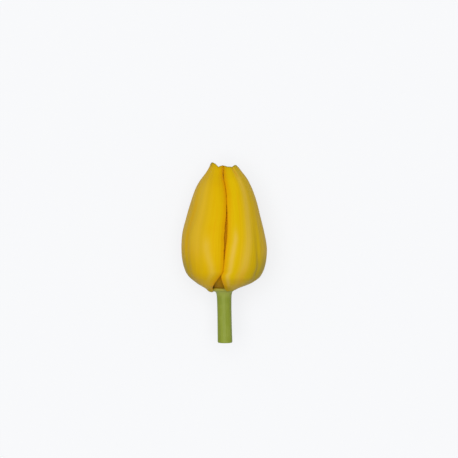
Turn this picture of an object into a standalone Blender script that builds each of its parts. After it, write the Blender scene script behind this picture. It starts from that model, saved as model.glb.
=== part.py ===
"""A closed yellow tulip on a short cut stem, lying on its back.

The flower is modelled standing up in a frame of its own, in millimetres: Z runs up the stem from the
receptacle, and -Y points at the seam between the two front tepals. An azimuth is an angle round Z,
measured from that seam and positive towards +X. One empty carries every piece, turns the millimetres
into metres and lays the flower down, so that its tip points along +Y and the front seam faces +Z.
"""

import math
from dataclasses import dataclass

import bmesh
import bpy
from mathutils import Vector

MM = 0.001

# Outline of the cup from foot to tip, as (radius, height) knots: first the outer tepals, then the inner.
OUTER_OUTLINE = (
    (4.7, -1.2),
    (5.9, -1.8),
    (8.0, -0.7),
    (12.6, 2.1),
    (18.0, 8.0),
    (19.9, 16.5),
    (18.8, 27.0),
    (15.4, 39.5),
    (11.6, 49.2),
    (7.1, 55.4),
    (6.3, 58.0),
)
INNER_OUTLINE = (
    (3.7, 0.8),
    (5.6, 1.2),
    (10.4, 4.6),
    (14.2, 10.5),
    (15.2, 18.0),
    (14.2, 28.0),
    (10.9, 40.0),
    (7.3, 47.8),
    (4.3, 51.8),
    (2.1, 53.9),
    (0.6, 55.2),
)

OUTER_THICKNESS = 0.9
INNER_THICKNESS = 0.7
MARGIN_THINNING = 0.45  # thickness at a margin, as a share of the middle's
FOOT_THICKENING = 1.5  # thickness at the fleshy foot, as a share of the middle's
FLESHY_REACH = 0.14  # share of the outline over which it thins from that

# The outer tepals roll inwards at their margins, which leaves a valley along each seam.
VALLEY_SHARE = 0.13  # depth of the valley, as a share of the radius there
MOUTH_VALLEY_SHARE = 0.2  # what the valley gains at the mouth
MOUTH_START = 0.62  # share of the outline from which it gains that
VALLEY_POWER = 4.0
INNER_VALLEY_SHARE = 0.05
INNER_VALLEY_POWER = 3
FURROW_DEPTH = 0.4  # the crease down the middle of an outer tepal
FURROW_WIDTH = 1.6
FURROW_RISE = 0.12  # share of the outline by which the furrow is at its deepest
FURROW_FADE_START, FURROW_FADE_REACH = 0.35, 0.4  # shares of the outline over which it fades again
FURROW_STRAIGHT_HEIGHT = 20.0  # height from which the furrow no longer bends

FOOT_REACH = 0.235  # share of the outline that the narrow foot of a tepal takes up
POUCH_SHARE, POUCH_REACH = 0.035, 0.022  # where along the outline a pouch lies, and how wide it is
POUCH_LOSS = 0.6  # share of itself that a pouch loses towards the high margin
POUCH_LOSS_START = 0.3  # place across the tepal from which it loses that
SEAM_GAP = 0.4
FRONT_SEAM_OPENING = 1.0  # what the front seam gains where it gapes most
FRONT_SEAM_OPENING_HEIGHT = 25.0
FRONT_SEAM_OPENING_REACH = 7.0
# Where the front seam runs, as (azimuth, height) knots.
FRONT_SEAM_PATH = (
    (-6.2, -2.5),
    (-5.6, 5.0),
    (-0.3, 10.0),
    (0.7, 14.0),
    (2.0, 19.0),
    (3.4, 26.0),
    (5.4, 35.0),
    (4.6, 45.0),
    (-1.6, 51.5),
    (-4.5, 58.0),
)

STEM_OUTLINE = (
    (3.1, -25.4),
    (3.36, -25.15),
    (3.29, -18.0),
    (3.25, -12.0),
    (3.3, -6.0),
    (3.45, -3.4),
    (3.75, -2.1),
    (4.15, -1.5),
    (4.35, -0.9),
    (4.3, -0.4),
    (3.9, 0.1),
    (3.2, 0.5),
    (2.2, 0.65),
)
STEM_LEAN = 0.5  # sideways offset of the cut end
STEM_SIDES = 24

STAMEN_COUNT = 6
FILAMENT_OUTLINE = ((2.35, 1.0), (2.7, 4.0), (3.5, 8.0), (4.6, 11.6))
FILAMENT_RADII = (0.42, 0.55, 0.42, 0.14)
FILAMENT_SIDES = 8
ANTHER_FOOT, ANTHER_HEAD = 12.0, 23.4
ANTHER_RADIUS_AT_FOOT, ANTHER_RADIUS_AT_HEAD = 4.75, 5.6  # distances from the flower's axis
ANTHER_HALF_WIDTH, ANTHER_HALF_DEPTH = 1.25, 0.85
ANTHER_WAIST = 0.22  # how deep the furrows between the pollen sacs cut, as a share
ANTHER_ENDS = 0.97  # share of the full oval's half length at which the blunt ends are cut off
ANTHER_SIDES = 12
ANTHER_RINGS = 8

# The pistil's rings, as (radius, height, how strongly it is three-lobed).
PISTIL_RINGS = (
    (1.1, 0.98, 0.0),
    (1.4, 1.6, 0.04),
    (1.8, 4.0, 0.08),
    (2.3, 8.5, 0.10),
    (2.45, 12.5, 0.10),
    (2.3, 16.5, 0.10),
    (2.0, 18.6, 0.12),
    (2.5, 19.8, 0.22),
    (3.3, 21.0, 0.34),
    (3.2, 22.0, 0.42),
    (2.1, 22.3, 0.45),
    (0.9, 21.6, 0.30),
)
PISTIL_SIDES = 24

TABLE_DEPTH = 19.2  # distance from the flower's axis to the surface that its back is pressed flat on

ACROSS_CELLS = 12
ALONG_CELLS = 20
FOOT_CROWDING = 0.6  # how much closer the cells lie at the foot than at the tip

PETAL_YELLOW = (0.73, 0.46, 0.006)
INNER_YELLOW = (0.70, 0.42, 0.006)
STEM_GREEN = (0.27, 0.33, 0.05)
POLLEN_YELLOW = (0.62, 0.42, 0.05)
FILAMENT_CREAM = (0.66, 0.60, 0.22)
PISTIL_GREEN = (0.42, 0.50, 0.16)


@dataclass(frozen=True)
class Margin:
    """One long edge of a tepal."""

    seam: float  # azimuth along the cup, degrees
    foot: float  # azimuth at the receptacle
    shoulder: float  # height at which the edge turns towards the tip
    foot_power: float = 2.0  # how suddenly it sweeps to the foot
    parting: float = FOOT_REACH  # share of the outline at which it leaves the seam
    lobe: float = 0.0  # how much lower than the outline it hangs at the foot
    gapes: bool = False  # bounds the front seam


@dataclass(frozen=True)
class Tepal:
    """One petal, between the margin on its low-azimuth side and the one on its high side."""

    name: str
    low: Margin
    high: Margin
    tip: float  # height
    tip_reach: float = 0.6  # share of the half width over which the edge rises to the tip
    tip_power: float = 0.4  # below 1 the tip is blunt
    fullness: tuple = ((0.0, 0.0),)  # how far outside the outline it stands, as (height, length) knots
    pouch: float = 0.0  # how much further it swells out at its very foot
    curl: float = 0.0  # how far the tip bends in from the outline
    furrow: float = 0.0  # place of the furrow across it, from -1 to 1
    furrow_bend: float = 0.0  # how much further across the furrow starts at the foot


# The two front tepals bulge unevenly from foot to tip.
LEFT_FULLNESS = (
    (-1.2, 0.0),
    (0.7, -0.5),
    (2.5, -0.1),
    (4.4, 0.35),
    (6.2, 0.3),
    (9.0, 0.0),
    (16.5, -0.15),
    (20.0, 0.0),
    (26.0, 0.27),
    (32.0, 0.05),
    (46.0, 0.0),
    (51.5, -0.55),
    (55.0, -0.3),
)
RIGHT_FULLNESS = (
    (-1.2, 0.0),
    (0.7, 0.15),
    (2.5, 0.9),
    (4.4, 1.2),
    (6.5, 0.65),
    (9.0, 0.3),
    (13.0, 0.07),
    (18.0, -0.05),
    (24.0, -0.3),
    (32.0, -0.45),
    (37.6, -0.15),
    (41.0, 0.0),
)
OUTER_TEPALS = (
    Tepal(
        "outer_tepal_left",
        Margin(-119.0, -124.0, 53.0, lobe=0.3),
        Margin(0.0, -55.0, 55.2, foot_power=1.35, parting=0.22, lobe=0.3, gapes=True),
        tip=57.6,
        fullness=LEFT_FULLNESS,
        pouch=0.5,
    ),
    Tepal(
        "outer_tepal_right",
        Margin(0.0, 14.0, 55.3, foot_power=1.2, parting=0.22, lobe=-0.1, gapes=True),
        Margin(119.0, 124.0, 52.6, lobe=-1.1),
        tip=56.1,
        tip_reach=0.42,
        fullness=RIGHT_FULLNESS,
        furrow=-0.18,
        furrow_bend=0.26,
    ),
    Tepal(
        "outer_tepal_back",
        Margin(119.0, 131.0, 52.6, lobe=-0.5),
        Margin(241.0, 233.0, 53.0),
        tip=56.7,
        curl=1.3,
    ),
)
INNER_TEPALS = (
    Tepal(
        "inner_tepal_front",
        Margin(-64.0, -76.0, 54.1),
        Margin(56.0, 60.0, 54.1),
        tip=55.0,
        tip_reach=1.0,
        tip_power=1.0,
    ),
    Tepal(
        "inner_tepal_back_right",
        Margin(56.0, 62.0, 53.9),
        Margin(176.0, 178.0, 54.0),
        tip=54.9,
        tip_reach=1.0,
        tip_power=1.0,
    ),
    Tepal(
        "inner_tepal_back_left",
        Margin(176.0, 180.0, 54.0),
        Margin(296.0, 284.0, 53.9),
        tip=55.1,
        tip_reach=1.0,
        tip_power=1.0,
    ),
)
CURL_START, CURL_END = 46.0, 58.0


def smoothstep(value):
    """Eases from 0 to 1 as value goes from 0 to 1."""
    t = min(1.0, max(0.0, value))
    return t * t * (3.0 - 2.0 * t)


def bell(distance, width):
    """A smooth bump, 1 in its middle."""
    return math.exp(-((distance / width) ** 2))


def between(knots, place):
    """The value at a place between (place, value) knots, level beyond them."""
    for (low, first), (high, last) in zip(knots, knots[1:]):
        if place <= high:
            return first + (last - first) * max(0.0, (place - low) / (high - low))
    return knots[-1][1]


class Curve:
    """A smooth curve through knots (value, height), read by its share of the length or by height."""

    def __init__(self, knots, steps_per_span=12):
        points = [Vector(knot) for knot in knots]
        times = [0.0]
        for here, after in zip(points, points[1:]):
            times.append(times[-1] + (after - here).length)
        last = len(points) - 1
        slopes = []
        for i in range(len(points)):
            low, high = max(i - 1, 0), min(i + 1, last)
            slopes.append((points[high] - points[low]) / (times[high] - times[low]))
        self.points = [points[0]]
        for i in range(last):
            span = times[i + 1] - times[i]
            for step in range(1, steps_per_span + 1):
                t = step / steps_per_span
                self.points.append(
                    (1 + 2 * t) * (1 - t) ** 2 * points[i]
                    + t * (1 - t) ** 2 * span * slopes[i]
                    + t * t * (3 - 2 * t) * points[i + 1]
                    + t * t * (t - 1) * span * slopes[i + 1]
                )
        self.lengths = [0.0]
        for here, after in zip(self.points, self.points[1:]):
            self.lengths.append(self.lengths[-1] + (after - here).length)

    def at(self, share):
        """The (value, height) at this share of the length."""
        wanted = min(1.0, max(0.0, share)) * self.lengths[-1]
        for i in range(1, len(self.points)):
            if self.lengths[i] >= wanted:
                part = (wanted - self.lengths[i - 1]) / (self.lengths[i] - self.lengths[i - 1])
                return self.points[i - 1].lerp(self.points[i], part)
        return self.points[-1]

    def share_at_height(self, height):
        """The share of the length at which the curve last passes this height."""
        for i in range(len(self.points) - 1, 0, -1):
            below, above = self.points[i - 1].y, self.points[i].y
            if below <= height <= above:
                part = (height - below) / (above - below)
                length = self.lengths[i - 1] + part * (self.lengths[i] - self.lengths[i - 1])
                return length / self.lengths[-1]
        return 0.0 if height < self.points[0].y else 1.0


SEAM_PATH = Curve(FRONT_SEAM_PATH)


def around(azimuth, radius, height):
    """The point at this azimuth in degrees, seen from the front seam at -Y."""
    angle = math.radians(azimuth)
    return Vector((radius * math.sin(angle), -radius * math.cos(angle), height))


def press_on_table(point):
    """Flattens what would reach below the surface that the flower lies on."""
    return Vector((point.x, min(point.y, TABLE_DEPTH), point.z))


def end_height(tepal, across):
    """Height of the tepal's upper edge, level along the shoulders and rising to the tip."""
    shoulder = tepal.low.shoulder if across < 0 else tepal.high.shoulder
    near_tip = max(0.0, 1 - abs(across) / tepal.tip_reach)
    return shoulder + (tepal.tip - shoulder) * near_tip**tepal.tip_power


def margin_azimuth(margin, inward, share, radius, height):
    """Azimuth of a margin, half a seam gap inside the seam."""
    parting = max(0.0, 1 - share / margin.parting) ** margin.foot_power
    gap = SEAM_GAP
    if margin.gapes:
        offset = height - FRONT_SEAM_OPENING_HEIGHT
        gap += FRONT_SEAM_OPENING * bell(offset, FRONT_SEAM_OPENING_REACH)
    swept = margin.seam + (margin.foot - margin.seam) * parting
    return swept + inward * math.degrees(gap / 2 / radius)


def azimuth_at(tepal, across, share, radius, height):
    """Azimuth of a point of the tepal; the front ones follow the front seam sideways."""
    low = margin_azimuth(tepal.low, 1, share, radius, height)
    high = margin_azimuth(tepal.high, -1, share, radius, height)
    azimuth = low + (high - low) * (across + 1) / 2
    sway = SEAM_PATH.at(SEAM_PATH.share_at_height(height)).x
    return azimuth + sway * (1 + math.cos(math.radians(azimuth))) / 2


def outer_surface(tepal, across, share, outline):
    """A point of an outer tepal's outer face, rolled in at the margins and creased along the midrib."""
    radius, height = outline.at(share)
    azimuth = azimuth_at(tepal, across, share, radius, height)
    rooted = smoothstep(share / FOOT_REACH)
    mouth = smoothstep((share - MOUTH_START) / (1 - MOUTH_START))
    valley = VALLEY_SHARE * rooted + MOUTH_VALLEY_SHARE * mouth
    furrow_at = tepal.furrow + tepal.furrow_bend * (1 - smoothstep(height / FURROW_STRAIGHT_HEIGHT))
    from_furrow = radius * math.radians((tepal.high.seam - tepal.low.seam) / 2) * (across - furrow_at)
    faded = smoothstep((share - FURROW_FADE_START) / FURROW_FADE_REACH)
    crease = smoothstep(share / FURROW_RISE) * (1 - faded)
    furrow = FURROW_DEPTH * crease * bell(from_furrow, FURROW_WIDTH)
    pouch_loss = POUCH_LOSS * smoothstep((across - POUCH_LOSS_START) / (1 - POUCH_LOSS_START))
    pouch = tepal.pouch * (1 - pouch_loss)
    swell = between(tepal.fullness, height) + pouch * bell(share - POUCH_SHARE, POUCH_REACH)
    curl = tepal.curl * smoothstep((height - CURL_START) / (CURL_END - CURL_START))
    reach = (radius + swell) * (1 - valley * abs(across) ** VALLEY_POWER) - furrow - curl
    drop = (tepal.low.lobe * (1 - across) + tepal.high.lobe * (1 + across)) / 2
    return around(azimuth, reach, height - drop * (1 - rooted))


def inner_surface(tepal, across, share, outline):
    """A point of an inner tepal's outer face, a little rolled in at the margins."""
    radius, height = outline.at(share)
    azimuth = azimuth_at(tepal, across, share, radius, height)
    valley = INNER_VALLEY_SHARE * abs(across) ** INNER_VALLEY_POWER
    return around(azimuth, radius * (1 - valley), height)


def tepal_mesh(tepal, outline, surface):
    """The tepal's outer face as a grid, which a Solidify modifier thickens inwards."""
    mesh = bmesh.new()
    thickness = mesh.verts.layers.deform.new()
    rows = []
    for j in range(ALONG_CELLS + 1):
        along = j / ALONG_CELLS
        crowded = along * (1 - FOOT_CROWDING * (1 - along))
        row = []
        for i in range(ACROSS_CELLS + 1):
            across = 2 * i / ACROSS_CELLS - 1
            share = outline.share_at_height(end_height(tepal, across)) * crowded
            point = surface(tepal, across, share, outline)
            vertex = mesh.verts.new(press_on_table(point) * MM)
            thinned = 1 - (1 - MARGIN_THINNING) * max(abs(across), along) ** 3
            fleshiness = 1 - smoothstep(share / FLESHY_REACH)
            thickened = 1 + (FOOT_THICKENING - 1) * fleshiness
            vertex[thickness][0] = thinned * thickened / FOOT_THICKENING
            row.append(vertex)
        rows.append(row)
    for low, high in zip(rows, rows[1:]):
        for i in range(ACROSS_CELLS):
            mesh.faces.new((low[i], low[i + 1], high[i + 1], high[i])).smooth = True
    return mesh


def loft(rings):
    """A closed mesh through rings of points, low to high, each anticlockwise seen from above."""
    mesh = bmesh.new()
    loops = [[mesh.verts.new(point * MM) for point in ring] for ring in rings]
    for low, high in zip(loops, loops[1:]):
        for i in range(len(low)):
            after = (i + 1) % len(low)
            mesh.faces.new((low[i], low[after], high[after], high[i])).smooth = True
    mesh.faces.new(reversed(loops[0]))
    mesh.faces.new(loops[-1])
    return mesh


def ring(centre, side, depth, sides, shape=lambda angle: 1.0):
    """Points round centre, with half axes side and depth, scaled by shape at each angle."""
    points = []
    for i in range(sides):
        angle = 2 * math.pi * i / sides
        reach = shape(angle)
        points.append(centre + reach * (math.cos(angle) * side + math.sin(angle) * depth))
    return points


def stem_rings():
    """The stem from its cut end up to the flared receptacle."""
    rings = []
    for radius, height in STEM_OUTLINE:
        depth_below = height / STEM_OUTLINE[0][1]
        centre = Vector((STEM_LEAN * max(0.0, depth_below), 0, height))
        rings.append(ring(centre, Vector((radius, 0, 0)), Vector((0, radius, 0)), STEM_SIDES))
    return rings


def filament_rings(azimuth):
    """A filament, thick at its foot and drawn out to the needle that carries the anther."""
    rings = []
    for (distance, height), radius in zip(FILAMENT_OUTLINE, FILAMENT_RADII):
        side = around(azimuth + 90, radius, 0)
        depth = around(azimuth + 180, radius, 0)
        rings.append(ring(around(azimuth, distance, height), side, depth, FILAMENT_SIDES))
    return rings


def pollen_sacs(angle):
    """An anther's section: a furrow down each face between its two pollen sacs."""
    return 1 - ANTHER_WAIST * abs(math.sin(angle)) ** 3


def anther_rings(azimuth):
    """An anther, a long oval with a furrow between its two pollen sacs."""
    rings = []
    for j in range(ANTHER_RINGS + 1):
        rise = j / ANTHER_RINGS
        fullness = math.sqrt(1 - (ANTHER_ENDS * (2 * rise - 1)) ** 4)
        distance = ANTHER_RADIUS_AT_FOOT + (ANTHER_RADIUS_AT_HEAD - ANTHER_RADIUS_AT_FOOT) * rise
        height = ANTHER_FOOT + (ANTHER_HEAD - ANTHER_FOOT) * rise
        side = around(azimuth + 90, ANTHER_HALF_WIDTH * fullness, 0)
        depth = around(azimuth + 180, ANTHER_HALF_DEPTH * fullness, 0)
        centre = around(azimuth, distance, height)
        rings.append(ring(centre, side, depth, ANTHER_SIDES, pollen_sacs))
    return rings


def pistil_rings():
    """The three-sided ovary and the stigma's three lobes above it."""
    rings = []
    for radius, height, lobing in PISTIL_RINGS:

        def lobes(angle, lobing=lobing):
            return 1 + lobing * math.cos(3 * angle)

        centre = Vector((0, 0, height))
        side, depth = Vector((radius, 0, 0)), Vector((0, radius, 0))
        rings.append(ring(centre, side, depth, PISTIL_SIDES, lobes))
    return rings


def material(name, colour, roughness):
    made = bpy.data.materials.new(name)
    made.use_nodes = True
    shader = made.node_tree.nodes["Principled BSDF"]
    shader.inputs["Base Color"].default_value = (*colour, 1.0)
    shader.inputs["Roughness"].default_value = roughness
    shader.inputs["Metallic"].default_value = 0.0
    return made


def piece(name, mesh, finish, carrier):
    """Makes an object of a bmesh under the carrier."""
    data = bpy.data.meshes.new(name)
    mesh.to_mesh(data)
    mesh.free()
    data.materials.append(finish)
    made = bpy.data.objects.new(name, data)
    bpy.context.scene.collection.objects.link(made)
    made.parent = carrier
    return made


def tepal_piece(tepal, outline, surface, thickness, finish, carrier):
    made = piece(tepal.name, tepal_mesh(tepal, outline, surface), finish, carrier)
    made.vertex_groups.new(name="thickness")
    solid = made.modifiers.new("thickness", "SOLIDIFY")
    solid.thickness = thickness * FOOT_THICKENING * MM
    solid.offset = -1.0
    solid.use_even_offset = False
    solid.vertex_group = "thickness"
    return made


def build_flower(carrier):
    """Every piece of the flower, standing up under the carrier."""
    petal = material("petal_yellow", PETAL_YELLOW, 0.5)
    inner_petal = material("inner_petal_yellow", INNER_YELLOW, 0.55)
    green = material("stem_green", STEM_GREEN, 0.5)
    cream = material("filament_cream", FILAMENT_CREAM, 0.5)
    pollen = material("pollen_yellow", POLLEN_YELLOW, 0.9)
    pistil_green = material("pistil_green", PISTIL_GREEN, 0.5)

    piece("stem", loft(stem_rings()), green, carrier)
    outer, inner = Curve(OUTER_OUTLINE), Curve(INNER_OUTLINE)
    for tepal in OUTER_TEPALS:
        tepal_piece(tepal, outer, outer_surface, OUTER_THICKNESS, petal, carrier)
    for tepal in INNER_TEPALS:
        tepal_piece(tepal, inner, inner_surface, INNER_THICKNESS, inner_petal, carrier)
    for n in range(STAMEN_COUNT):
        azimuth = 360 * n / STAMEN_COUNT
        piece(f"filament_{n + 1}", loft(filament_rings(azimuth)), cream, carrier)
        piece(f"anther_{n + 1}", loft(anther_rings(azimuth)), pollen, carrier)
    piece("pistil", loft(pistil_rings()), pistil_green, carrier)


def lay_down(carrier):
    """Turns the flower on its back, with its footprint centred on the origin and its back at Z = 0."""
    carrier.rotation_euler = (math.radians(-90), 0, 0)
    carrier.location = (0, 0, TABLE_DEPTH * MM)
    bpy.context.view_layer.update()
    graph = bpy.context.evaluated_depsgraph_get()
    corners = []
    for child in carrier.children:
        evaluated = child.evaluated_get(graph)
        corners += [evaluated.matrix_world @ v.co for v in evaluated.to_mesh().vertices]
        evaluated.to_mesh_clear()
    for axis in (0, 1):
        values = [corner[axis] for corner in corners]
        carrier.location[axis] -= (min(values) + max(values)) / 2


def main():
    for old in list(bpy.data.objects):
        bpy.data.objects.remove(old)
    carrier = bpy.data.objects.new("flower_axis", None)
    bpy.context.scene.collection.objects.link(carrier)
    build_flower(carrier)
    lay_down(carrier)


main()
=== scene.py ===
"""Looks of a closed yellow tulip that lies on its back on a pale table.

The flower is shaped in a frame of its own, in millimetres: Z runs up the stem from the receptacle and -Y
points at the seam between the two front petals. An azimuth is an angle round Z in degrees, measured from
that seam and positive towards +X. FlowerAxis turns that frame into the row frame, where the flower lies
along +Y with its front seam up.
"""

from __future__ import annotations

import logging
import math
from bisect import bisect_left
from dataclasses import dataclass
from enum import Enum
from typing import Sequence

import bmesh
import bpy
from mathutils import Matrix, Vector, noise


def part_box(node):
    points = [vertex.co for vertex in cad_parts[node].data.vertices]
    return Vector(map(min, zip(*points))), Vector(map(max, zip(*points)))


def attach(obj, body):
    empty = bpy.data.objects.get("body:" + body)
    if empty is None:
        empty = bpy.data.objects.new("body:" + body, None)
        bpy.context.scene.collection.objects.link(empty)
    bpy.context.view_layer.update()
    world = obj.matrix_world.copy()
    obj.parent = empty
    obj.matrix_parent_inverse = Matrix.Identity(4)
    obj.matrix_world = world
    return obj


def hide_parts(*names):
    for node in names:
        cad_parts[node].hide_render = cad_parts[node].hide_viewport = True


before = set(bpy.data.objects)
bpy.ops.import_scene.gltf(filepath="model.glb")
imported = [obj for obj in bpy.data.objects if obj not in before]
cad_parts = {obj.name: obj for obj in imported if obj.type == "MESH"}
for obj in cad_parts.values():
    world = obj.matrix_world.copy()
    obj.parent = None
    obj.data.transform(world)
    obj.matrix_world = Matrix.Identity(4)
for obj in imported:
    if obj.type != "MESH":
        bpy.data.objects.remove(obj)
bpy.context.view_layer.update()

MM = 0.001
BODY = "root"
PLACE_MAP = "place"  # UV map: x runs across a petal or round the stem, y from the foot to the edge

log = logging.getLogger("tulip")

Socket = bpy.types.NodeSocket
Point = bmesh.types.BMVert
Colour = tuple[float, float, float]
Knot = tuple[float, float]
Span = tuple[float, float]  # where a change begins and where it is over


def ease(value: float, start: float, end: float) -> float:
    """Eases from 0 to 1 as value goes from start to end, which may be the lower of the two."""
    t = min(1.0, max(0.0, (value - start) / (end - start)))
    return t * t * (3.0 - 2.0 * t)


def bell(distance: float, width: float) -> float:
    """A bell curve of height 1, read this far from its middle."""
    return math.exp(-((distance / width) ** 2))


def ripple(x: float, y: float, seed: float) -> float:
    """Smooth noise from about -1 to 1 at a point of a plane, different for each seed."""
    return noise.noise(Vector((x, y, seed)))


def around(azimuth: float, radius: float, height: float) -> Vector:
    """The point at this azimuth in degrees, radius and height of the flower frame."""
    angle = math.radians(azimuth)
    return Vector((radius * math.sin(angle), -radius * math.cos(angle), height))


@dataclass(frozen=True)
class Hump:
    """A smooth hump: its height, its half width and where its middle is."""

    height: float
    width: float
    middle: float = 0.0

    def at(self, place: float) -> float:
        """Its height at a place."""
        return self.height * bell(place - self.middle, self.width)


@dataclass(frozen=True)
class Ripples:
    """Uneven waves of a surface: their depth, how close they lie in both directions, and their seed."""

    depth: float
    pace_x: float
    pace_y: float
    seed: float = 0.0

    def at(self, x: float, y: float, seed: float) -> float:
        """Their height at a point, with a further seed."""
        return self.depth * ripple(x * self.pace_x, y * self.pace_y, seed + self.seed)


class Curve:
    """A smooth curve through knots, read by a share of its length or by the height of its second value."""

    def __init__(self, knots: Sequence[Sequence[float]], steps_per_span: int = 24) -> None:
        """Samples the curve.

        Args:
            knots: points that it passes through, each a value and a height, and a third value or none.
            steps_per_span: samples between two knots.
        """
        points = [Vector(knot) for knot in knots]
        times = [0.0]
        for here, after in zip(points, points[1:]):
            times.append(times[-1] + (after - here).length)
        last = len(points) - 1
        slopes = []
        for i in range(len(points)):
            low, high = max(i - 1, 0), min(i + 1, last)
            slopes.append((points[high] - points[low]) / (times[high] - times[low]))
        self.points = [points[0]]
        for i in range(last):
            span = times[i + 1] - times[i]
            for step in range(1, steps_per_span + 1):
                t = step / steps_per_span
                self.points.append(
                    (1 + 2 * t) * (1 - t) ** 2 * points[i]
                    + t * (1 - t) ** 2 * span * slopes[i]
                    + t * t * (3 - 2 * t) * points[i + 1]
                    + t * t * (t - 1) * span * slopes[i + 1]
                )
        self.lengths = [0.0]
        for here, after in zip(self.points, self.points[1:]):
            self.lengths.append(self.lengths[-1] + (after - here).length)

    @property
    def length(self) -> float:
        """Length of the whole curve."""
        return self.lengths[-1]

    def at(self, share: float) -> Vector:
        """Reads the curve.

        Args:
            share: share of its length, from 0 to 1.

        Returns:
            The point there.
        """
        wanted = min(1.0, max(0.0, share)) * self.length
        i = max(1, min(bisect_left(self.lengths, wanted), len(self.points) - 1))
        part = (wanted - self.lengths[i - 1]) / (self.lengths[i] - self.lengths[i - 1])
        return self.points[i - 1].lerp(self.points[i], part)

    def share_at_height(self, height: float) -> float:
        """Finds where the curve last passes a height.

        Args:
            height: the height, as its second value.

        Returns:
            The share of its length there.
        """
        for i in range(len(self.points) - 1, 0, -1):
            below, above = self.points[i - 1].y, self.points[i].y
            if below <= height <= above:
                part = (height - below) / (above - below)
                length = self.lengths[i - 1] + part * (self.lengths[i] - self.lengths[i - 1])
                return length / self.length
        return 0.0 if height < self.points[0].y else 1.0


class Profile:
    """A smooth line through knots, read by their first value, such as a height across a petal."""

    def __init__(self, knots: Sequence[Knot]) -> None:
        """Takes the knots.

        Args:
            knots: places in rising order, each with a value.
        """
        self.knots = list(knots)
        last = len(knots) - 1
        self.slopes = []
        for i in range(len(knots)):
            low, high = knots[max(i - 1, 0)], knots[min(i + 1, last)]
            self.slopes.append((high[1] - low[1]) / (high[0] - low[0]))

    def at(self, place: float) -> float:
        """Reads the line, which is level beyond its outer knots.

        Args:
            place: the place.

        Returns:
            The value there.
        """
        if place <= self.knots[0][0]:
            return self.knots[0][1]
        if place >= self.knots[-1][0]:
            return self.knots[-1][1]
        i = next(i for i, knot in enumerate(self.knots) if knot[0] > place) - 1
        (x0, y0), (x1, y1) = self.knots[i], self.knots[i + 1]
        span = x1 - x0
        t = (place - x0) / span
        return (
            (1 + 2 * t) * (1 - t) ** 2 * y0
            + t * (1 - t) ** 2 * span * self.slopes[i]
            + t * t * (3 - 2 * t) * y1
            + t * t * (t - 1) * span * self.slopes[i + 1]
        )


class Tone(Enum):
    """Painted light and shade on a petal or the stem, each kept as a value at every point of its mesh."""

    # Painted sheen: pale highlight streaks on the petals.
    PALE = "pale"
    # Painted orange glow of light through and between the petals, painted shadow in creases and beside the
    # sheen, and on the stem amber, partly painted shade where the petals' feet meet it.
    WARM = "warm"
    # Painted shade: dark olive along the upper edges, at the lobes, low on the feet, along a furrow and in a
    # seam.
    OLIVE = "olive"


class Streak:
    """A soft painted streak on a petal, a highlight, glow or shade, left out where it has faded over this
    many times its fade.
    """

    faded_after = 2.5

    def __init__(
        self,
        tone: Tone,
        path: Sequence[Knot],
        width: float,
        strength: float,
        fade: float = 4.0,
    ) -> None:
        """Lays the streak.

        Args:
            tone: the mark that it adds to.
            path: its run, as heights in millimetres from low to high, each with a place across the petal.
            width: half its width, as a share of half the petal's width.
            strength: the mark's value along its middle.
            fade: how far it fades out beyond its two ends, in millimetres.
        """
        self.tone = tone
        self.path = Profile(path)
        self.width = width
        self.strength = strength
        self.fade = fade

    def at(self, across: float, height: float) -> float:
        """Reads the streak.

        Args:
            across: the place across the petal, from -1 to 1.
            height: the height, in millimetres.

        Returns:
            Its value there.
        """
        low, high = self.path.knots[0][0], self.path.knots[-1][0]
        beyond = max(0.0, low - height, height - high)
        if beyond > self.faded_after * self.fade:
            return 0.0
        return self.strength * bell(beyond, self.fade) * bell(across - self.path.at(height), self.width)


@dataclass(frozen=True)
class FlowerAxis:
    """Where the flower frame lies in the row frame."""

    origin: Vector

    @classmethod
    def of_stem(cls, cut_height: float) -> FlowerAxis:
        """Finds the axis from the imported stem.

        Args:
            cut_height: height of the stem's cut end in the flower frame, in millimetres.

        Returns:
            The axis, level above the table.
        """
        low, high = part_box("stem")
        middle = (low + high) / 2
        return cls(Vector((middle.x, low.y - cut_height * MM, middle.z)))

    def place(self, point: Vector) -> Vector:
        """Turns a point of the flower frame in millimetres into one of the row frame in metres."""
        return self.origin + Vector((point.x, point.z, -point.y)) * MM


@dataclass(frozen=True)
class Wash:
    """A coat of paint over a pattern: the values at which it begins and is full, and its strength there."""

    begin: float
    full: float
    strength: float


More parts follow.
